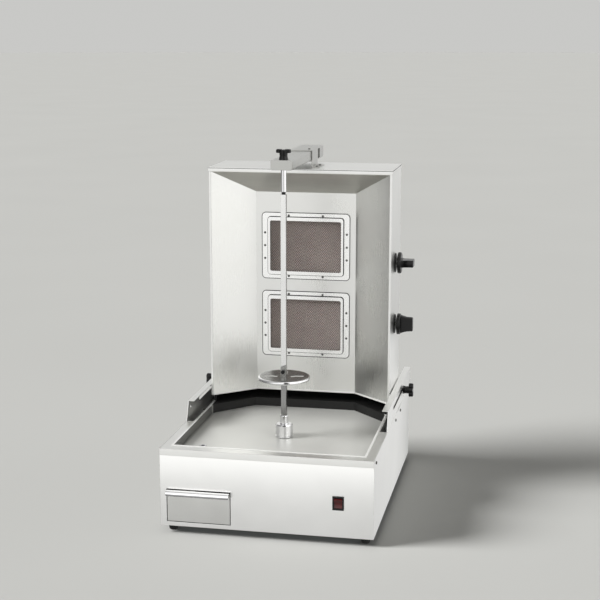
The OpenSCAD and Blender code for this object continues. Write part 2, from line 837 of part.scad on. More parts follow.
// Wing knob that points along +Z: a waisted neck and a two-lobed head
module wing_knob(neck_h, head_h, reach) {
    rotate_extrude() polygon([[0, 0], [10.5, 0], [10, 1.5], [8.8, neck_h * 0.5],
        [9.4, neck_h], [9.4, neck_h + head_h - 1], [0, neck_h + head_h - 1]]);
    translate([0, 0, neck_h]) {
        for (s = [-1, 1]) translate([s * (reach - 7.5), 0, 0]) rotate_extrude()
            polygon([[0, 0], [6.5, 0], [7.5, 1], [7.5, head_h - 2], [5.5, head_h], [0, head_h]]);
        block([7.5 - reach, -6.2, 0.4], [reach - 7.5, 6.2, head_h - 1]);
    }
}

// Clamp knob on the right rail: its stud runs through the slot into the head
module clamp_knob() {
    color([0.06, 0.06, 0.06]) in_base() translate([0, stud_y, slot_z]) {
        rod([head_x - 13, 0, 0], [half_w + 3, 0, 0], stud_r);
        translate([half_w + 0.5, 0, 0]) rotate([0, 90, 0]) wing_knob(14, 11, 17);
    }
}

module left_clamp_knob() {
    mirror([1, 0, 0]) clamp_knob();
}

module right_clamp_knob() {
    clamp_knob();
}

module glide_strips() {
    color("dimgray") in_base() block_pair([212, 396, base_h + sheet + gap],
                                          [head_x - sheet, 540, head_bottom_z]);
}

// Sleeve on the top cover that the arm slides in
module arm_sleeve() {
    w0 = arm_w / 2 + gap;
    w1 = w0 + 2.4;
    z0 = arm_z - gap;
    z1 = arm_top_z + 0.4;
    color("gainsboro") in_base() difference() {
        union() {
            block([-w1, sleeve_y0, z1], [w1, sleeve_y1, z1 + 2.4]);
            block_pair([w0, sleeve_y0, z0 - 2], [w1, sleeve_y1, z1]);
            block([-w1, sleeve_y0, z0 - 2], [w1, sleeve_y1, z0]);
            block_pair([w0, sleeve_y0, head_top_z], [w1, sleeve_foot_y, z1]);
            block_pair([w0, sleeve_y0, head_top_z], [43, sleeve_foot_y, head_top_z + 2]);
        }
        block_pair([w0 - 1, sleeve_window[0], z0], [w1 + 1, sleeve_window[1], z1]);
        for (p = sleeve_screws)
            rod([p[0], p[1], head_top_z - 1], [p[0], p[1], head_top_z + 5], 1.6);
        rod([cap_screw[0], cap_screw[1], z1 - 1], [cap_screw[0], cap_screw[1], z1 + 5], 1.6);
    }
}

// --------------------------------------------------------------------- arm

module arm_bar() {
    mid_z = arm_z + arm_h / 2;
    color("lightgray") in_base() difference() {
        union() {
            difference() {
                standing_plate(arm_w, arm_h, 2.5, arm_front_y, arm_back_y, mid_z);
                standing_plate(arm_w - 4, arm_h - 4, 1, arm_front_y + 2, arm_back_y + 5, mid_z);
            }
            rod([0, spit_y, arm_z + 1], [0, spit_y, arm_top_z - 1], 11);
        }
        rod([0, spit_y, arm_z - 5], [0, spit_y, arm_top_z + 5], screw_r + fit);
    }
}

module centre_tip() {
    color("black") in_base() translate([0, spit_y, 0]) rotate_extrude()
        polygon([[0, bar_top_z - 5.6], [0.6, bar_top_z - 5.6], [3, bar_top_z - 0.2],
                 [3, bar_top_z + gap], [tip_r, bar_top_z + gap], [tip_r, tip_z - 1],
                 [tip_r - 0.8, tip_z - 0.2],
                 [2, tip_z - 0.2], [2, tip_z + 12], [0, tip_z + 12]]);
}

module centre_screw() {
    color("white") in_base() translate([0, spit_y, 0]) rotate_extrude()
        polygon([[2 + fit, tip_z], [screw_r, tip_z], [screw_r, arm_top_z + 9],
                 [0, arm_top_z + 9], [0, tip_z + 12.3], [2 + fit, tip_z + 12.3]]);
}

module centre_knob() {
    color([0.06, 0.06, 0.06]) in_base() translate([0, spit_y, arm_top_z + gap]) difference() {
        wing_knob(14, 8.2, 17);
        translate([0, 0, -1]) cylinder(r = screw_r, h = 9.7);
    }
}

// ------------------------------------------------------------------ drawer

module drawer_tray() {
    x0 = drawer_x0 + 2.5;
    x1 = drawer_x1 - 2.5;
    z0 = drawer_z0 - 0.5;
    color("silver") in_base() difference() {
        block([x0, sheet, z0], [x1, drawer_d + 2, 70]);
        block([x0 + 1, sheet + 1, z0 + 1], [x1 - 1, drawer_d + 1, 80]);
    }
}

// Front plate whose top edge rolls forwards into a full-width pull
module drawer_front() {
    r = 6;
    nose_y = -pull_out + r;
    color("whitesmoke") in_base() {
        block([drawer_x0, 0, drawer_z0], [drawer_x1, sheet, drawer_z1]);
        block([drawer_x0, nose_y, drawer_z1 - sheet], [drawer_x1, 0, drawer_z1]);
        difference() {
            rod([drawer_x0, nose_y, drawer_z1 - r], [drawer_x1, nose_y, drawer_z1 - r], r);
            rod([drawer_x0 - 1, nose_y, drawer_z1 - r],
                [drawer_x1 + 1, nose_y, drawer_z1 - r], r - sheet);
            block([drawer_x0 - 1, nose_y, drawer_z1 - 3 * r], [drawer_x1 + 1, nose_y + 2 * r, drawer_z1 + r]);
        }
    }
}

module rocker() {
    color("firebrick") in_base() translate([switch_x, 3, switch_z]) {
        rotate([10, 0, 0]) rotate([90, 0, 90]) translate([0, 0, -9.2]) linear_extrude(18.4)
            polygon([[-6, 10.6], [-4, 3.5], [-3.6, 0], [-4, -3.5], [-6, -10.6], [-1, -11],
                     [4, -7], [6, 0], [4, 7], [-1, 11]]);
        rod([-10.4, 0, 0], [10.4, 0, 0], 1.5);
    }
}

base_front_panel();
base_left_panel();
base_right_panel();
base_rear_panel();
base_bottom_plate();
top_deck();
drip_pan();
drain_spout();
left_slide_rail();
right_slide_rail();
feet();
drawer_runners();
base_screws();
switch_housing();
mains_gland();
motor_bracket();
gearbox_case();
motor_can();
spindle_bearing();
spindle_shaft();
drive_hub();
skewer_bar();
meat_disc();
disc_screw();
head_left_panel();
head_right_panel();
head_back_panel();
head_top_cover();
head_bottom_plate();
back_reflector();
left_reflector();
right_reflector();
hood_reflector();
upper_burner_frame();
lower_burner_frame();
burner_meshes();
burner_tiles();
burner_boxes();
mixer_tubes();
gas_injectors();
feed_tubes();
head_screws();
gas_manifold();
valve_bodies();
knob_bezels();
arm_sleeve();
glide_strips();
upper_valve_spindle();
lower_valve_spindle();
upper_gas_knob();
lower_gas_knob();
left_clamp_knob();
right_clamp_knob();
arm_bar();
centre_tip();
centre_screw();
centre_knob();
drawer_tray();
drawer_front();
rocker();
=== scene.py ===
# %% [markdown]
# # A table-top gas doner grill
# The grill is a low stainless base with a drip pan and a powered spit, and a sliding
# heating head with two infrared burners. The structure and everything that moves come
# from the CAD frame. This notebook gives every piece its finish, eases the folded edges
# of the sheet metal, and builds what CAD leaves plain, such as the burner guards.

# %% The frame
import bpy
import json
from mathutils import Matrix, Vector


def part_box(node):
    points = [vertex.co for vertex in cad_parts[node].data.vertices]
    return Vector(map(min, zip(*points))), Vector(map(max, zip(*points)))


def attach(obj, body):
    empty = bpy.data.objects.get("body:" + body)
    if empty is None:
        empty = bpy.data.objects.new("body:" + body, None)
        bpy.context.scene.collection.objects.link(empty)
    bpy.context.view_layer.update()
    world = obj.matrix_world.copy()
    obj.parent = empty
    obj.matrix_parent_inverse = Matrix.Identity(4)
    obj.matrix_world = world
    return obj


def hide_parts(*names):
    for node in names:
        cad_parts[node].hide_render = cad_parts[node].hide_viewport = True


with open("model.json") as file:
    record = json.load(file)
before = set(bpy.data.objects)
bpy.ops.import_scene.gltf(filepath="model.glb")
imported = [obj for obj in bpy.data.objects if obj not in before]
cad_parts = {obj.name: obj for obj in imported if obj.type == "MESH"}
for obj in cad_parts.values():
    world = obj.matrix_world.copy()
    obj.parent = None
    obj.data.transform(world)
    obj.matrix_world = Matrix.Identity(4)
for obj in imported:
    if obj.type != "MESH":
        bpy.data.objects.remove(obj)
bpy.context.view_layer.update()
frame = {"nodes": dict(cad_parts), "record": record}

# %% Tools for the notebook
import json
import math

import bmesh
import bpy
from mathutils import Matrix, Vector

MM = 0.001
X, Y, Z = (Vector(axis) for axis in ((1, 0, 0), (0, 1, 0), (0, 0, 1)))
nodes = frame["nodes"]
body_of_node = {name: body for body, names in frame["record"]["behaviour"]["bodies"].items()
                for name in names}
slot_of_node = {part["node"]: part["material_slot"] for part in frame["record"]["subparts"]}

# %% [markdown]
# ## The camera
# A product shot is taken from a little above and to one side with a long lens, so that
# upright edges stay nearly parallel. The camera could aim itself with a Track To
# constraint. A fixed place and two angles are used instead, because they are easy to
# check and nothing has to be solved. The lens is given for a 36 mm wide sensor.

# %% Camera
camera = bpy.data.objects.new("camera", bpy.data.cameras.new("camera"))
camera.data.sensor_width = 36
camera.data.lens = 81.43
camera.location = (0.6208, -3.0599, 1.0996)
camera.rotation_euler = (math.radians(78.65), 0, math.radians(11.23))
camera.data.clip_end = 200
bpy.context.scene.collection.objects.link(camera)
bpy.context.scene.camera = camera
bpy.context.scene.view_settings.view_transform = "Standard"

# %% [markdown]
# ## Colours and nodes
# Colours are written as sRGB hex, as a paint chart gives them, and shaders work in linear
# light, so one function does the conversion. A second small function adds any shader node,
# sets its properties, fills its inputs and links it. Every material is then a short list
# of such calls, which reads in the order in which the light meets the surface.


# %% Colour and node helpers
def linear(code):
    """Linear RGBA from an sRGB hex colour such as "#D8D8D5"."""
    channels = [int(code[i:i + 2], 16) / 255 for i in (1, 3, 5)]
    return [c / 12.92 if c <= 0.04045 else ((c + 0.055) / 1.055) ** 2.4 for c in channels] + [1]


def add(tree, kind, inputs=None, **settings):
    """Adds a node, with its settings, its input values and its links."""
    node = tree.nodes.new(kind)
    for name, value in settings.items():
        setattr(node, name, value)
    for name, value in (inputs or {}).items():
        if isinstance(value, bpy.types.NodeSocket):
            tree.links.new(value, node.inputs[name])
        else:
            node.inputs[name].default_value = value
    return node


def new_material(name, **values):
    """A material with one Principled shader, whose plain inputs are set by their names."""
    material = bpy.data.materials.new(name)
    material.use_nodes = True
    tree = material.node_tree
    tree.nodes.clear()
    shader = add(tree, "ShaderNodeBsdfPrincipled", values)
    add(tree, "ShaderNodeOutputMaterial", {"Surface": shader.outputs[0]})
    material.diffuse_color = shader.inputs["Base Color"].default_value
    return material, tree, shader


def stretched_noise(tree, spacing, detail=3):
    """Noise whose features are spacing = (x, y, z) millimetres long on each axis."""
    place = add(tree, "ShaderNodeTexCoord").outputs["Object"]
    scaled = add(tree, "ShaderNodeMapping", {"Vector": place, "Scale": [1 / (s * MM) for s in spacing]})
    noise = add(tree, "ShaderNodeTexNoise", {"Vector": scaled.outputs[0], "Scale": 1.0,
                                             "Detail": detail, "Roughness": 0.6})
    return noise.outputs["Fac"]


def between(tree, factor, low, high, start=0.3, end=0.7):
    """Maps a pattern's range start to end onto low to high."""
    return add(tree, "ShaderNodeMapRange", {"Value": factor, "From Min": start, "From Max": end,
                                            "To Min": low, "To Max": high}).outputs[0]


def tint(tree, factor, low, high):
    """Blends two hex colours by a pattern."""
    mix = add(tree, "ShaderNodeMix", {"Factor": factor}, data_type="RGBA")
    mix.inputs[6].default_value = linear(low)
    mix.inputs[7].default_value = linear(high)
    return mix.outputs[2]


# %% [markdown]
# ## The floor and the light
# The grill stands on seamless paper, with no horizon line. A cove that curves up into a
# wall is the usual way, but a curved wall is lit unevenly, and the grill is looked at
# from all sides. Here the paper is one very wide disc, spun from a line, and the air
# behind it has the brightness of lit paper, so the far edge can't be told from it.


# %% Paper floor
def spun(name, outline, steps):
    """A surface of revolution round the Z axis, from an outline of (radius, height) points."""
    shape = bmesh.new()
    line = [shape.verts.new((radius, 0, height)) for radius, height in outline]
    edges = [shape.edges.new(pair) for pair in zip(line, line[1:])]
    bmesh.ops.spin(shape, geom=line + edges, cent=(0, 0, 0), axis=Z, angle=math.tau,
                   steps=steps, use_merge=True, use_duplicate=False)
    bmesh.ops.remove_doubles(shape, verts=shape.verts, dist=1e-6)
    bmesh.ops.recalc_face_normals(shape, faces=shape.faces)
    return as_object(name, shape)


def as_object(name, shape, smooth=True):
    """Turns a bmesh into an object that sits at the origin."""
    mesh = bpy.data.meshes.new(name)
    shape.to_mesh(mesh)
    shape.free()
    for face in mesh.polygons:
        face.use_smooth = smooth
    made = bpy.data.objects.new(name, mesh)
    bpy.context.scene.collection.objects.link(made)
    return made


FLOOR_RADIUS = 60      # metres, so that its edge is lost in the distance
paper = spun("paper_floor", [(0, 0), (2, 0), (10, 0), (FLOOR_RADIUS, 0)], 64)


def seamless_paper():
    """Matt background paper: no gloss, and very slightly uneven."""
    material, tree, shader = new_material("seamless_paper", Roughness=0.95)
    shader.inputs["Specular IOR Level"].default_value = 0.1
    cloud = stretched_noise(tree, (900, 900, 900), detail=1)
    tree.links.new(tint(tree, cloud, "#BBBBB8", "#BFBFBC"), shader.inputs["Base Color"])
    return material


paper.data.materials.append(seamless_paper())
paper.visible_glossy = False

# %% [markdown]
# Bare metal shows only what it reflects, so the studio round it matters more than the
# lamps. Instead of many white and black cards, the world is the studio for reflections:
# a ramp round the compass gives bright walls, a dimmer left side and the narrow dark
# flags that draw the lines on round chrome. Everything matt sees only plain air.


# %% Studio reflections
GLOSS_WORLD = 1.35      # strength of the walls in reflections
PLAIN_AIR = 0.5         # what matt surfaces are filled with
BACKDROP = 1.03         # what the camera sees past the paper's edge


def studio_world():
    world = bpy.data.worlds.new("studio")
    world.use_nodes = True
    tree = world.node_tree
    tree.nodes.clear()
    direction = add(tree, "ShaderNodeTexCoord").outputs["Generated"]
    parts = add(tree, "ShaderNodeSeparateXYZ", {"Vector": direction}).outputs
    forward = add(tree, "ShaderNodeMath", {0: parts["Y"], 1: -1.0}, operation="MULTIPLY").outputs[0]
    compass = add(tree, "ShaderNodeMath", {0: parts["X"], 1: forward}, operation="ARCTAN2").outputs[0]
    turn = add(tree, "ShaderNodeMapRange", {"Value": compass, "From Min": -math.pi, "From Max": math.pi})
    ramp = add(tree, "ShaderNodeValToRGB", {"Fac": turn.outputs[0]})
    # Degrees to the right of the grill's front, and the brightness seen there
    walls = [(-180, 0.57), (-140, 0.46), (-112, 0.22), (-88, 0.2), (-60, 0.32), (-36, 0.86), (8, 0.88),
             (14, 0.04), (30, 0.04), (38, 1.0), (80, 1.12), (112, 1.02), (140, 0.68), (180, 0.57)]
    stops = ramp.color_ramp.elements
    while len(stops) < len(walls):
        stops.new(0.5)
    for stop, (degrees, brightness) in zip(stops, walls):
        stop.position = (degrees + 180) / 360
        stop.color = (brightness, brightness, brightness * 0.985, 1)
    height = add(tree, "ShaderNodeMapRange", {"Value": parts["Z"], "From Min": -0.45,
                                              "From Max": -0.05, "To Min": 0.37, "To Max": 1.0}).outputs[0]
    seen = add(tree, "ShaderNodeVectorMath", {0: ramp.outputs["Color"], 1: height}, operation="MULTIPLY")
    gloss = add(tree, "ShaderNodeBackground", {"Color": seen.outputs[0], "Strength": GLOSS_WORLD})
    ray = add(tree, "ShaderNodeLightPath").outputs
    strength = add(tree, "ShaderNodeMapRange", {"Value": ray["Is Camera Ray"], "To Min": PLAIN_AIR,
                                                "To Max": BACKDROP}).outputs[0]
    air = add(tree, "ShaderNodeBackground", {"Color": linear("#C6C6C4"), "Strength": strength})
    mixed = add(tree, "ShaderNodeMixShader", {0: ray["Is Glossy Ray"], 1: air.outputs[0],
                                              2: gloss.outputs[0]})
    add(tree, "ShaderNodeOutputWorld", {"Surface": mixed.outputs[0]})
    return world


bpy.context.scene.world = studio_world()

# %% [markdown]
# The shadow falls to the right and a little back, and fades softly. One lamp near the
# grill would burn out the paper on its own side, so the key light is a sun with a wide
# angle: it is equally strong everywhere and its shadow still has a soft edge. The cards
# are seen only by the metal. The low one shades the front panel from bright at the top to
# darker near the floor, the side one lifts the front of the right side panel, and the
# high one puts a highlight on the knobs. A soft fill evens out the floor of the pan.


# %% Lamps
def lamp(name, kind, place, aim, power, **settings):
    """A lamp at place that looks at aim."""
    light = bpy.data.lights.new(name, kind)
    light.energy = power
    for setting, value in settings.items():
        setattr(light, setting, value)
    holder = bpy.data.objects.new(name, light)
    holder.location = place
    holder.rotation_euler = (Vector(aim) - Vector(place)).to_track_quat("-Z", "Y").to_euler()
    bpy.context.scene.collection.objects.link(holder)
    return holder


def card(name, place, aim, width, height, radiance):
    """A glowing card that only reflections see. Its power follows from how bright it looks."""
    holder = lamp(name, "AREA", place, aim, math.pi * width * height * radiance,
                  shape="RECTANGLE", size=width, size_y=height)
    holder.visible_camera = holder.visible_diffuse = False
    return holder


def only_for(holder, pieces):
    """Keeps a card's light to these pieces, as a flag on a stand would."""
    lit = bpy.data.collections.new(holder.name + "_lights")
    for piece in pieces:
        lit.objects.link(piece)
    holder.light_linking.receiver_collection = lit


key = lamp("key_sun", "SUN", (-3.1, -1.15, 2.2), (0, 0, 0), 4.75, angle=math.radians(24))
key.visible_glossy = False
low_card = card("low_front_card", (-0.08, -0.72, 0.13), (-0.08, 0, 0.13), 1.0, 0.22, 0.76)
card("side_card", (0.47, 0.4, 0.0), (0.47, 0, 0.0), 0.36, 0.6, 0.36)
card("knob_card", (1.9, -1.3, 1.5), (0.2, 0, 0.4), 0.4, 0.4, 4.0)
pan_fill = lamp("pan_fill", "AREA", (0.75, -0.5, 1.0), (0.1, -0.1, 0.18), 4.0, shape="DISK", size=0.5)
pan_fill.visible_glossy = pan_fill.visible_camera = False

# %% [markdown]
# ## Stainless steel
# Most of the grill is folded stainless sheet. The mill brushes it in one direction, and
# that grain stretches every reflection across it. The finish could come from a scratched
# image, but a noise that is long on one axis and short on the others does the same at any
# scale. The noise drives roughness and a very low bump, and a broad cloud keeps large
# panels from looking computed.

# %% Brushed sheet
GRAIN_MM = 0.6      # real brush lines lie 0.1 to 0.3 mm apart, and are drawn coarser to show
GRAIN_LENGTH_MM = 140
CLOUD_MM = 130      # handling and rolling leave soft patches about a hand wide


def relief(tree, shader, height, depth_mm):
    """Raises the surface by a pattern, depth_mm from its lowest to its highest point."""
    bump = add(tree, "ShaderNodeBump", {"Height": height, "Distance": depth_mm * MM, "Strength": 1.0})
    tree.links.new(bump.outputs[0], shader.inputs["Normal"])


def total(tree, first, second):
    return add(tree, "ShaderNodeMath", {0: first, 1: second}, operation="ADD").outputs[0]


def brushed(name, grain, dark, light, roughness, spread=0.03, depth_mm=0.0015, metallic=1.0):
    """Stainless sheet brushed along one axis, "X", "Y" or "Z"."""
    material, tree, shader = new_material(name, Metallic=metallic)
    lines = stretched_noise(tree, [GRAIN_LENGTH_MM if a == grain else GRAIN_MM for a in "XYZ"])
    cloud = stretched_noise(tree, [CLOUD_MM] * 3, detail=2)
    tree.links.new(tint(tree, between(tree, cloud, 0, 1), dark, light), shader.inputs["Base Color"])
    grainy = between(tree, lines, roughness - spread, roughness + spread)
    cloudy = between(tree, cloud, -0.02, 0.03)
    tree.links.new(total(tree, grainy, cloudy), shader.inputs["Roughness"])
    relief(tree, shader, lines, depth_mm)
    return material


# Mill satin keeps only the big light and dark shapes of the studio
satin = {grain: brushed(f"satin_stainless_{grain.lower()}", grain, "#F0F0EE", "#F5F5F3", 0.33)
         for grain in "XYZ"}
# Scraping leaves the pan so finely scratched that part of its light is scattered, as by paint
pan_sheet = brushed("pan_stainless", "Y", "#CACAC6", "#D2D2CE", 0.36, 0.02, 0.0008, metallic=0.5)
# Folded hems get a near-white, partly matt colour: painted highlight, bright from any side
hem_painted_highlight = brushed("hem_painted_highlight_stainless", "Y", "#F2F2F0", "#F8F8F6", 0.34, 0.02, 0.0004, metallic=0.6)
# The arm is a thicker section from a duller coil, a plain light grey
arm_sheet = brushed("arm_stainless", "Y", "#B9B9B6", "#C4C4C1", 0.3)
# Reflectors are rolled brighter to throw the heat forwards, and mirror their surroundings softly
reflector_sheet = brushed("reflector_stainless", "Z", "#E2E2DF", "#E8E8E6", 0.28, 0.012, 0.0002)
# The burner frames are pressed and buffed, nearly white with thin bright edges
frame_sheet = brushed("pressed_frame_stainless", "X", "#F4F4F2", "#FAFAF9", 0.25, 0.015, 0.0002)
# The drawer's plate is one even grey under its polished pull
drawer_sheet = brushed("drawer_stainless", "X", "#D2D2CF", "#DADAD7", 0.36, 0.03, 0.0015)
# A drawn bar has fine lines along it from the die
bar_sheet = brushed("drawn_stainless_bar", "Z", "#E6E6E5", "#EFEFEE", 0.24, 0.03, 0.001)

# %% [markdown]
# Painted shade: the pan's floor darkens towards its side walls, where shade falls in the
# corner, and the bar darkens below the disc, in the disc's shade. Both follow the place on
# the grill, so a ramp along one axis multiplies the colour that the finish already has.


# %% Painted shade by the pan's walls and under the disc
def painted_shade(material, axis, start_mm, end_mm, share):
    """Darkens a finish from all of its colour at start_mm to a share of it at end_mm."""
    tree = material.node_tree
    shader = tree.nodes["Principled BSDF"]
    colour = shader.inputs["Base Color"].links[0].from_socket
    place = add(tree, "ShaderNodeTexCoord").outputs["Object"]
    along = add(tree, "ShaderNodeSeparateXYZ", {"Vector": place}).outputs[axis]
    if axis == "X":
        along = add(tree, "ShaderNodeMath", {0: along}, operation="ABSOLUTE").outputs[0]
    shade_ramp = between(tree, along, 1.0, share, start_mm * MM, end_mm * MM)
    mix = add(tree, "ShaderNodeMix", {"Factor": 1.0}, data_type="RGBA", blend_type="MULTIPLY")
    tree.links.new(colour, mix.inputs[6])
    tree.links.new(shade_ramp, mix.inputs[7])
    tree.links.new(mix.outputs[2], shader.inputs["Base Color"])


HEM_WIDTH_MM = 4.5
PAN_SHADE_MM = (9, 1)       # how far from the side wall the painted shade starts, and is full
BAR_SHADE_MM = (12, 4)      # the same, as heights over the disc's underside
pan_wall_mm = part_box("drip_pan")[1].x / MM - HEM_WIDTH_MM
disc_low_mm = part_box("meat_disc")[0].z / MM
# painted shade: the pan's floor falls to 35 % of its colour by the walls, the bar to 40 % below the disc
painted_shade(pan_sheet, "X", pan_wall_mm - PAN_SHADE_MM[0], pan_wall_mm - PAN_SHADE_MM[1], 0.35)
painted_shade(bar_sheet, "Z", disc_low_mm + BAR_SHADE_MM[0], disc_low_mm + BAR_SHADE_MM[1], 0.4)
print("pan stained out to x =", round(pan_wall_mm, 1), "mm, bar below z =", round(disc_low_mm, 1), "mm")

# %% [markdown]
# The hood over the burners is the same sheet after years of hot flue gas: duller and
# darker, with a straw-coloured bloom where it got hottest. The bloom is a second cloud
# in its colour, which is how temper colours really form, in patches.


# %% Heat-dulled hood
def heat_dulled(name):
    material, tree, shader = new_material(name, Metallic=1.0)
    bloom = stretched_noise(tree, (160, 60, 60), detail=3)
    tree.links.new(tint(tree, between(tree, bloom, 0, 1), "#D6D5D0", "#E6E4DF"), shader.inputs["Base Color"])
    tree.links.new(between(tree, bloom, 0.34, 0.44), shader.inputs["Roughness"])
    relief(tree, shader, stretched_noise(tree, (GRAIN_LENGTH_MM, GRAIN_MM, GRAIN_MM)), 0.0015)
    return material


hood_sheet = heat_dulled("heat_dulled_stainless")

# %% [markdown]
# ## Polished and turned steel
# The spit, its hub and the centre screw are polished bar. Polishing leaves hairlines that
# only soften the brightest lines, so the roughness stays low and varies a little. The meat
# disc is turned on a lathe, and its tool marks are rings round the spit, made from the
# distance to the spit's axis.

# %% Polished and turned steel
spit_low, spit_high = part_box("skewer_bar")
spit_axis = (spit_low + spit_high) / 2


def polished(name, dark="#E4E4E6", light="#F4F4F5", roughness=0.07):
    material, tree, shader = new_material(name, Metallic=1.0)
    hairlines = stretched_noise(tree, (0.8, 0.8, 90))
    smears = stretched_noise(tree, (25, 25, 40), detail=1)
    tree.links.new(tint(tree, smears, dark, light), shader.inputs["Base Color"])
    tree.links.new(between(tree, hairlines, roughness - 0.02, roughness + 0.04), shader.inputs["Roughness"])
    relief(tree, shader, hairlines, 0.001)
    return material


def turned(name):
    material, tree, shader = new_material(name, Metallic=1.0)
    place = add(tree, "ShaderNodeTexCoord").outputs["Object"]
    centred = add(tree, "ShaderNodeVectorMath", {0: place, 1: (spit_axis.x, spit_axis.y, 0)},
                  operation="SUBTRACT").outputs[0]
    flat = add(tree, "ShaderNodeVectorMath", {0: centred, 1: (1, 1, 0)}, operation="MULTIPLY").outputs[0]
    radius = add(tree, "ShaderNodeVectorMath", {0: flat}, operation="LENGTH").outputs["Value"]
    rings = add(tree, "ShaderNodeTexNoise", {"W": radius, "Scale": 1 / (0.9 * MM), "Detail": 2.0},
                noise_dimensions="1D").outputs["Fac"]
    tree.links.new(tint(tree, rings, "#8A8A88", "#B2B2AF"), shader.inputs["Base Color"])
    tree.links.new(between(tree, rings, 0.2, 0.36), shader.inputs["Roughness"])
    relief(tree, shader, rings, 0.02)
    return material


polished_bar = polished("polished_steel")
turned_disc = turned("turned_steel")
plain_screw = polished("zinc_screw_steel", "#5C5C5A", "#7A7A77", 0.3)

# %% [markdown]
# ## Hidden metals
# Inside are galvanised brackets, brass valves, copper pipe, a zinc-plated gas pipe and a
# cast gearbox. They show when the drawer is out or from behind. Galvanised sheet has
# spangles, crystals about 8 mm wide, and a Voronoi pattern has the same cells. The cast
# case and the motor are painted, so they aren't metallic: their bump is the paint's.


# %% Galvanised sheet, brass, copper and paint
def galvanised(name):
    material, tree, shader = new_material(name, Metallic=1.0)
    place = add(tree, "ShaderNodeTexCoord").outputs["Object"]
    spangle = add(tree, "ShaderNodeTexVoronoi", {"Vector": place, "Scale": 1 / (8 * MM)}).outputs["Color"]
    shade = add(tree, "ShaderNodeSeparateColor", {"Color": spangle}).outputs[0]
    tree.links.new(tint(tree, shade, "#8F9496", "#B4B8BA"), shader.inputs["Base Color"])
    tree.links.new(between(tree, shade, 0.32, 0.5, 0, 1), shader.inputs["Roughness"])
    return material


def plain_metal(name, dark, light, roughness, metallic=1.0):
    """Brass, copper, wire or plated pipe, drawn or machined, with a slightly uneven tarnish."""
    material, tree, shader = new_material(name, Metallic=metallic)
    tarnish = stretched_noise(tree, (18, 18, 18), detail=4)
    tree.links.new(tint(tree, between(tree, tarnish, 0, 1), dark, light), shader.inputs["Base Color"])
    tree.links.new(between(tree, tarnish, roughness + 0.08, roughness - 0.04), shader.inputs["Roughness"])
    return material


def painted_casting(name, dark, light, roughness, grit_mm, depth_mm):
    """Stoved paint over a cast or drawn case. The grit under it shows as a low bump."""
    material, tree, shader = new_material(name, Roughness=roughness)
    grit = stretched_noise(tree, [grit_mm] * 3, detail=2)
    tree.links.new(tint(tree, grit, dark, light), shader.inputs["Base Color"])
    relief(tree, shader, grit, depth_mm)
    return material


galvanised_sheet = galvanised("galvanised_sheet")
valve_brass = plain_metal("machined_brass", "#A8813B", "#C9A557", 0.28)
drawn_copper = plain_metal("drawn_copper", "#A7603C", "#C98258", 0.26)
plated_pipe = plain_metal("zinc_plated_pipe", "#9A9C9B", "#BCBEBC", 0.33)
gearbox_paint = painted_casting("painted_cast_aluminium", "#6F7477", "#7C8184", 0.45, 1.6, 0.06)
motor_paint = painted_casting("black_motor_enamel", "#17181A", "#202124", 0.35, 4, 0.03)

# %% [markdown]
# ## Plastics and rubber
# The gas knobs are moulded phenolic, hard and glossy with a faint flow pattern. The
# switch body, the bezels and the gland are nylon from a spark-eroded mould, so they are
# matt and finely pitted. The feet are rubber. The rocker is clear red polycarbonate over
# a dark cavity, which is why it looks nearly black except where it catches the light.


# %% Plastics and rubber
def moulded(name, dark, light, roughness, spread, pit_mm, depth_mm, ior=1.5):
    material, tree, shader = new_material(name, IOR=ior)
    flow = stretched_noise(tree, (30, 30, 30), detail=2)
    tree.links.new(tint(tree, flow, dark, light), shader.inputs["Base Color"])
    tree.links.new(between(tree, flow, roughness - spread, roughness + spread), shader.inputs["Roughness"])
    relief(tree, shader, stretched_noise(tree, [pit_mm] * 3, detail=2), depth_mm)
    return material


phenolic = moulded("black_phenolic", "#040404", "#080808", 0.24, 0.05, 5, 0.01, ior=1.4)
nylon = moulded("black_nylon", "#0B0B0C", "#121213", 0.5, 0.06, 0.7, 0.03, ior=1.45)
rubber = moulded("foot_rubber", "#141414", "#1F1F1F", 0.75, 0.08, 1.2, 0.06, ior=1.52)
red_lens = moulded("red_polycarbonate", "#3C0304", "#5E0507", 0.16, 0.03, 6, 0.01, ior=1.58)
# Dead black: painted shadow lines round the burner frames and under the top cover
black_shadow_line = moulded("painted_shadow_line", "#1C1C1D", "#2A2A2B", 0.8, 0.08, 0.9, 0.08)

# %% [markdown]
# ## Burner ceramic
# An infrared burner is a cordierite plaque with thousands of 1.2 mm ports, on which the
# gas burns flush. Ports as holes in the mesh would cost millions of faces for something
# seen through a guard. They are drawn in the material instead: cells in staggered rows,
# pushed in by a bump, and dark in the middle as painted shade inside each hole.

# %% Ported ceramic
PORT_PITCH_MM = 2.6      # drawn a little coarser than the real 2 mm, so that it shows


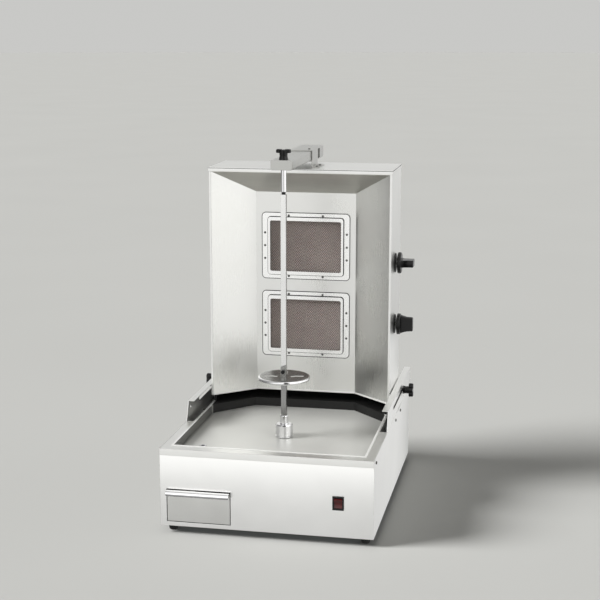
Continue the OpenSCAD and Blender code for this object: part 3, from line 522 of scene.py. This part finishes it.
def ported_ceramic(name):
    material, tree, shader = new_material(name, Roughness=0.9)
    place = add(tree, "ShaderNodeTexCoord").outputs["Object"]
    across = add(tree, "ShaderNodeSeparateXYZ", {"Vector": place}).outputs
    flat = add(tree, "ShaderNodeCombineXYZ", {"X": across["X"], "Y": across["Z"]}).outputs[0]
    scaled = add(tree, "ShaderNodeMapping", {"Vector": flat, "Scale": [1 / (PORT_PITCH_MM * MM)] * 3,
                                             "Rotation": (0, 0, math.pi / 4)})
    ports = add(tree, "ShaderNodeTexVoronoi", {"Vector": scaled.outputs[0], "Scale": 1.0, "Randomness": 0.08},
                voronoi_dimensions="2D", feature="F1").outputs["Distance"]
    port_and_shade = between(tree, ports, 0, 1, 0.3, 0.42)
    firing = stretched_noise(tree, (60, 60, 60), detail=2)
    body = tint(tree, between(tree, firing, 0, 1), "#AA938E", "#C8B2AC")
    # painted shade: each port's middle is dark brown, as the inside of a hole in shadow
    mix = add(tree, "ShaderNodeMix", {"Factor": port_and_shade}, data_type="RGBA")
    mix.inputs[6].default_value = linear("#332725")
    tree.links.new(body, mix.inputs[7])
    tree.links.new(mix.outputs[2], shader.inputs["Base Color"])
    relief(tree, shader, port_and_shade, 0.6)
    return material


ceramic = ported_ceramic("cordierite_plaque")
# Red heat leaves a mostly matt oxide skin on the wire; its near-white colour is painted highlight
guard_wire_painted_bright = plain_metal("heat_resistant_wire", "#E2DBD7", "#F0EAE6", 0.42, metallic=0.3)

# %% [markdown]
# ## Giving each CAD piece its finish
# A CAD piece whose shape is right keeps its mesh, and only its material changes. The
# record already says which finish each piece has, so one table from finish to material
# paints them all. Sheet is brushed along its length, so the panels differ by their grain.

# %% Paint the CAD pieces
FINISH = {
    "satin_stainless": satin["X"], "pan_stainless": pan_sheet,
    "reflector_stainless": reflector_sheet, "frame_stainless": frame_sheet,
    "polished_steel": polished_bar, "disc_steel": turned_disc, "screw_steel": plain_screw,
    "galvanised_sheet": galvanised_sheet, "black_phenolic": phenolic, "black_nylon": nylon,
    "foot_rubber": rubber, "red_rocker": red_lens, "burner_wire": guard_wire_painted_bright,
    "burner_ceramic": ceramic, "brass": valve_brass, "copper_tube": drawn_copper,
    "steel_pipe": plated_pipe, "cast_gearbox": gearbox_paint, "motor_enamel": motor_paint}
LENGTHWISE = ["base_left_panel", "base_right_panel", "left_slide_rail", "right_slide_rail",
              "top_deck"]
UPRIGHT = ["head_left_panel", "head_right_panel", "head_back_panel"]
SPECIAL = {"hood_reflector": hood_sheet, "skewer_bar": bar_sheet, "arm_bar": arm_sheet,
           "arm_sleeve": arm_sheet, "upper_valve_spindle": plain_screw,
           "lower_valve_spindle": plain_screw}


def finish_of(node):
    if node in LENGTHWISE:
        return satin["Y"]
    if node in UPRIGHT:
        return satin["Z"]
    return SPECIAL.get(node) or FINISH[slot_of_node[node]]


for node, piece in nodes.items():
    piece.data.materials.clear()
    piece.data.materials.append(finish_of(node))
print("painted", len(nodes), "CAD pieces")

# %% [markdown]
# ## Eased edges
# No real edge is a knife edge: sheet is bent round a radius of about its own thickness
# and cut edges are deburred, and that is where metal catches its bright lines. The CAD
# mesh is loose triangles with sharp edges, and it isn't touched. A merged copy of it is
# dissolved back into flat faces, its sharp edges are bevelled, and the copy stands for
# the CAD piece. Rebuilding each sheet by hand would only risk a different size.

# %% Eased copies
SHARP = math.radians(25)


def eased_copy(node, radius_mm, name):
    """A copy of a CAD piece with its sharp edges rounded."""
    shape = bmesh.new()
    shape.from_mesh(nodes[node].data)
    bmesh.ops.remove_doubles(shape, verts=shape.verts, dist=0.002 * MM)
    bmesh.ops.dissolve_limit(shape, angle_limit=math.radians(0.5), verts=shape.verts, edges=shape.edges)
    sharp = [e for e in shape.edges if e.is_manifold and e.calc_face_angle() > SHARP]
    bmesh.ops.bevel(shape, geom=sharp, offset=radius_mm * MM, offset_type="OFFSET", affect="EDGES",
                    segments=2, profile=0.5, material=-1, clamp_overlap=True, loop_slide=True)
    made = as_object(name, shape)
    made.data.materials.append(finish_of(node))
    made.modifiers.new("flat_faces", "WEIGHTED_NORMAL")
    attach(made, body_of_node[node])
    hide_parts(node)
    return made


EASED = {
    "base_front_panel": 0.5, "base_left_panel": 0.5, "base_right_panel": 0.5, "base_rear_panel": 0.4,
    "top_deck": 0.5, "drip_pan": 0.5, "left_slide_rail": 0.5, "right_slide_rail": 0.5,
    "head_left_panel": 0.5, "head_right_panel": 0.5, "head_back_panel": 0.4, "head_top_cover": 0.5,
    "left_reflector": 0.4, "right_reflector": 0.4, "back_reflector": 0.4,
    "upper_burner_frame": 0.7, "lower_burner_frame": 0.7,
    "arm_sleeve": 0.6, "arm_bar": 0.7, "drawer_front": 0.4, "drawer_tray": 0.4,
    "skewer_bar": 0.8, "meat_disc": 0.3, "rocker": 0.7, "switch_housing": 0.8,
    "upper_gas_knob": 1.0, "lower_gas_knob": 1.0, "left_clamp_knob": 0.8, "right_clamp_knob": 0.8,
    "centre_knob": 0.8, "disc_screw": 0.6}
eased = {node: eased_copy(node, radius_mm, node + "_eased") for node, radius_mm in EASED.items()}
print("eased", len(eased), "pieces")

# %% [markdown]
# The low card would also light the spit from below, which spoils the line on the bar. Light
# linking keeps it to the front of the base, and keeps the soft fill to the pan.

# %% Which pieces the card and the fill light
BY_LOW_CARD = ("base_front_panel", "top_deck", "drawer_front", "base_left_panel",
               "base_right_panel", "switch_housing", "rocker")
only_for(low_card, [eased[node] for node in BY_LOW_CARD])
only_for(pan_fill, [eased["drip_pan"]])
print("low card lights", len(BY_LOW_CARD), "pieces")

# %% [markdown]
# The drawer front is one folded sheet with two finishes. The rolled pull is polished, so
# that fat wipes off it, and the flat plate below keeps the mill's satin. Two objects could
# carry the two finishes, but a second material on the faces of the plate is enough.

# %% Satin drawer plate
PLATE_MM = 1.5      # the plate's faces lie this close to its back
drawer = eased["drawer_front"].data
plate_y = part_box("drawer_front")[1].y
drawer.materials.append(drawer_sheet)
for face in drawer.polygons:
    if abs(face.center.y - plate_y) < PLATE_MM * MM:
        face.material_index = 1
print("satin faces on the drawer", sum(face.material_index for face in drawer.polygons))

# %% [markdown]
# The disc's rolled rim is polished by hands and meat, while its flat keeps the tool marks.
# The rim's faces are found by their distance from the spit's axis.

# %% Polished disc rim
RIM_MM = 8.5
disc = eased["meat_disc"].data
disc_low, disc_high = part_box("meat_disc")
rim_radius = (disc_high.x - disc_low.x) / 2 - RIM_MM * MM
disc.materials.append(polished_bar)
for face in disc.polygons:
    if (face.center.xy - spit_axis.xy).length > rim_radius:
        face.material_index = 1
print("rim faces", sum(face.material_index for face in disc.polygons))

# %% [markdown]
# The deck's front lip is folded down over the front panel and brushed along its length.
# It takes the duller satin of the drawer plate, so that it reads as a separate edge.

# %% Front lip
deck = eased["top_deck"].data
deck.materials.append(drawer_sheet)
panel_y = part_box("base_front_panel")[0].y
for face in deck.polygons:
    if face.normal.y < -0.9 and face.center.y < panel_y:
        face.material_index = 1
print("lip faces", sum(face.material_index for face in deck.polygons))

# %% [markdown]
# The pan's rim and the reflectors' lower edges are folded back on themselves. The hems get a
# painted highlight, a near-white colour with a matt share, so they stay white next to
# the dark parts that plain metal would mirror.

# %% Painted highlight on the hems
PAN_HEM_MM, REFLECTOR_HEM_MM = 1.3, 4.3      # height of each hem, from the sheet's edge


def paint_hem_highlight(node, low_z, high_z):
    """Gives the faces between two heights the hem's painted highlight."""
    sheet = eased[node].data
    sheet.materials.append(hem_painted_highlight)
    for face in sheet.polygons:
        if low_z < face.center.z < high_z:
            face.material_index = 1
    print(node, "hem faces", sum(face.material_index for face in sheet.polygons))


pan_low, pan_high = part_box("drip_pan")
paint_hem_highlight("drip_pan", pan_high.z - PAN_HEM_MM * MM, pan_high.z + MM)
for node in ("left_reflector", "right_reflector", "back_reflector"):
    edge_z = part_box(node)[0].z
    paint_hem_highlight(node, edge_z - MM, edge_z + REFLECTOR_HEM_MM * MM)

# %% [markdown]
# Under the burners everything is painted black as shade: the strip of deck behind the pan,
# the pan's rear wall and hem, and the inside of the head. It is a hard line where the head
# shelters the deck, so it isn't drawn as a pattern. The planes of the line cut the sheets,
# and the faces behind them get the black of painted shade as one more material.

# %% Painted shade under the head
# near-black painted shade for the sheltered deck, the pan's rear and the inside of the head
shade_black = moulded("painted_shade_black", "#0A0A0A", "#131312", 0.6, 0.06, 2.5, 0.05)


def painted_black(piece, test, cuts=()):
    """Paints black shade on the faces of a piece whose centre passes test, after cutting along planes."""
    shape = bmesh.new()
    shape.from_mesh(piece.data)
    for place, normal in cuts:
        bmesh.ops.bisect_plane(shape, geom=shape.verts[:] + shape.edges[:] + shape.faces[:],
                               plane_co=place, plane_no=normal)
    piece.data.materials.append(shade_black)
    for face in shape.faces:
        if test(face.calc_center_median(), face.normal):
            face.material_index = len(piece.data.materials) - 1
    shape.to_mesh(piece.data)
    shape.free()


SHADE_AHEAD_MM = 22      # the painted shade starts where the pan's sides turn inwards
SHADE_SIDE_MM = 3        # how far inside the pan's width it stops
DECK_DOWN_MM = 2.6      # from the pan's rim to just below the deck's top
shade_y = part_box("left_reflector")[0].y - SHADE_AHEAD_MM * MM
shade_x = pan_high.x - SHADE_SIDE_MM * MM
head_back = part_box("head_back_panel")[1].y
line = [(Vector((0, shade_y, 0)), Y), (Vector((shade_x, 0, 0)), X), (Vector((-shade_x, 0, 0)), X)]


def under_head(centre, normal):
    """The top of the deck between the pan and the back of the head."""
    return (shade_y < centre.y < head_back and abs(centre.x) < shade_x
            and centre.z > pan_high.z - DECK_DOWN_MM * MM)


def pan_rear(centre, normal):
    """The pan's rear and slanted walls, and the hem behind them."""
    return (centre.y > shade_y and abs(centre.x) < shade_x
            and (normal.y < -0.3 or centre.z > pan_high.z - PAN_HEM_MM * MM))


painted_black(eased["top_deck"], under_head, line + [(Vector((0, head_back, 0)), Y)])
painted_black(eased["drip_pan"], pan_rear, line)
painted_black(eased["head_back_panel"], lambda centre, normal: normal.y < -0.5)
print("sooted from y =", round(shade_y, 4), "to", round(head_back, 4))

# %% [markdown]
# ## Burner guards
# A woven screen of heat-resistant wire stands in front of the glowing plaques. CAD has
# only its closed slab. Each wire could be a swept curve, but a screen has hundreds. Here a
# square grid is turned to stand on its corners, stretched into tall diamonds and trimmed
# to the window, and the wireframe operator turns every grid line into a wire.

# %% Diamond guards
DIAMOND_MM = (4.6, 6.4)
WIRE_MM = 1.0
guard_low, guard_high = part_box("burner_meshes")
frame_low, frame_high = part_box("lower_burner_frame")
upper_low, upper_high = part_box("upper_burner_frame")
burner_step = upper_low.z - frame_low.z


def diamond_guard():
    low, high = guard_low.copy(), guard_high.copy()
    high.z -= burner_step
    middle, size = (low + high) / 2, high - low
    reach = max(size) * 0.9
    cells = round(2 * reach / (DIAMOND_MM[1] * MM / math.sqrt(2)))
    shape = bmesh.new()
    bmesh.ops.create_grid(shape, x_segments=cells, y_segments=cells, size=reach)
    pitch = 2 * reach / cells * math.sqrt(2)
    diamond = Matrix.Diagonal((DIAMOND_MM[0] * MM / pitch, 1, DIAMOND_MM[1] * MM / pitch, 1))
    stand = Matrix.Rotation(math.pi / 2, 4, "X") @ Matrix.Rotation(math.pi / 4, 4, "Z")
    bmesh.ops.transform(shape, matrix=Matrix.Translation(middle) @ diamond @ stand, verts=shape.verts)
    for corner, side in ((low, -X), (high, X), (low, -Z), (high, Z)):
        bmesh.ops.bisect_plane(shape, geom=shape.verts[:] + shape.edges[:] + shape.faces[:],
                               plane_co=corner, plane_no=side, clear_outer=True)
    bmesh.ops.wireframe(shape, faces=shape.faces, thickness=WIRE_MM * MM, use_replace=True,
                        use_boundary=True, use_even_offset=False)
    second = bmesh.ops.duplicate(shape, geom=shape.verts[:] + shape.edges[:] + shape.faces[:])["geom"]
    bmesh.ops.translate(shape, vec=(0, 0, burner_step),
                        verts=[v for v in second if isinstance(v, bmesh.types.BMVert)])
    return as_object("burner_guards", shape, smooth=False)


guards = diamond_guard()
guards.data.materials.append(guard_wire_painted_bright)
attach(guards, "head")
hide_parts("burner_meshes")
print("guard faces", len(guards.data.polygons))

# %% [markdown]
# Each pressed frame gets a thin black bead round the flange and again round the foot of the
# raised ring. The beads are painted shadow: the dark lines that the frame's edge and the
# ring's step leave. They are raised beads rather than lines in a texture. Their outline is a
# rectangle with bevelled corners: inset gives the band and solidify gives it thickness.

# %% Black beads of painted shadow
BEAD_MM, BEAD_PROUD_MM = 1.5, 0.9
FLANGE_CORNER_MM, RING_CORNER_MM, FLANGE_MM = 9, 7, 1.5


def bead(shape, low, high, corner_mm, y):
    """A flat rounded band that lies just outside the rectangle low to high."""
    grow = BEAD_MM * MM
    corners = [(low.x - grow, low.z - grow), (high.x + grow, low.z - grow),
               (high.x + grow, high.z + grow), (low.x - grow, high.z + grow)]
    verts = [shape.verts.new((x, y, z)) for x, z in corners]
    shape.faces.new(verts)
    bmesh.ops.bevel(shape, geom=verts, offset=(corner_mm + BEAD_MM) * MM, offset_type="OFFSET",
                    affect="VERTICES", segments=6, profile=0.5, material=-1)
    whole = max(shape.faces, key=lambda f: f.calc_area())
    bmesh.ops.inset_region(shape, faces=[whole], thickness=grow, use_boundary=True,
                           use_even_offset=True)
    bmesh.ops.delete(shape, geom=[whole], context="FACES")


def ring_box(node):
    """The raised ring's front face, which is the frontmost part of a frame."""
    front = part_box(node)[0].y + 0.1 * MM
    points = [v.co for v in nodes[node].data.vertices if v.co.y < front]
    return (Vector(min(p[i] for p in points) for i in range(3)),
            Vector(max(p[i] for p in points) for i in range(3)))


beads = bmesh.new()
for node in ("upper_burner_frame", "lower_burner_frame"):
    for (low, high), corner_mm, back in ((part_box(node), FLANGE_CORNER_MM, 0),
                                         (ring_box(node), RING_CORNER_MM, FLANGE_MM)):
        one = bmesh.new()
        bead(one, low, high, corner_mm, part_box(node)[1].y - (back + BEAD_PROUD_MM) * MM)
        bmesh.ops.solidify(one, geom=one.faces[:], thickness=-BEAD_PROUD_MM * MM)
        bmesh.ops.recalc_face_normals(one, faces=one.faces)
        made = bpy.data.meshes.new("bead")
        one.to_mesh(made)
        one.free()
        beads.from_mesh(made)
        bpy.data.meshes.remove(made)
# black beads that paint the shadow lines round the frames and their rings
shadow_beads = as_object("burner_shadow_beads", beads, smooth=False)
shadow_beads.data.materials.append(black_shadow_line)
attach(shadow_beads, "head")
print("gasket faces", len(shadow_beads.data.polygons))

# %% [markdown]
# The top cover's edge is hemmed, and a thin black band round it, just below the top, paints
# the shadow line under the hem. It is a closed band that stands a hair proud of the cover.

# %% Painted shadow line under the top cover's hem
BAND_DOWN_MM, BAND_MM, BAND_PROUD_MM = 1.4, 1.2, 0.12
BAND_DEEP_MM = 1.1
cover_low, cover_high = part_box("head_top_cover")
shadow_band = bmesh.new()
size, middle = cover_high - cover_low, (cover_low + cover_high) / 2
grow = 2 * BAND_PROUD_MM * MM
place = Matrix.Translation((middle.x, middle.y, cover_high.z - (BAND_DOWN_MM + BAND_MM) * MM))
bmesh.ops.create_grid(shadow_band, x_segments=1, y_segments=1, size=0.5,
                      matrix=place @ Matrix.Diagonal((size.x + grow, size.y + grow, 1, 1)))
bmesh.ops.inset_region(shadow_band, faces=shadow_band.faces[:], thickness=BAND_DEEP_MM * MM, use_boundary=True)
bmesh.ops.delete(shadow_band, geom=[max(shadow_band.faces, key=lambda f: f.calc_area())], context="FACES")
bmesh.ops.solidify(shadow_band, geom=shadow_band.faces[:], thickness=-BAND_MM * MM)
bmesh.ops.recalc_face_normals(shadow_band, faces=shadow_band.faces)
# the black band paints the shadow line under the cover's hem
cover_shadow_band = as_object("cover_shadow_band", shadow_band, smooth=False)
cover_shadow_band.data.materials.append(black_shadow_line)
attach(cover_shadow_band, "head")
print("seam box", [tuple(round(c / MM, 1) for c in corner) for corner in
                   (cover_shadow_band.bound_box[0], cover_shadow_band.bound_box[6])])
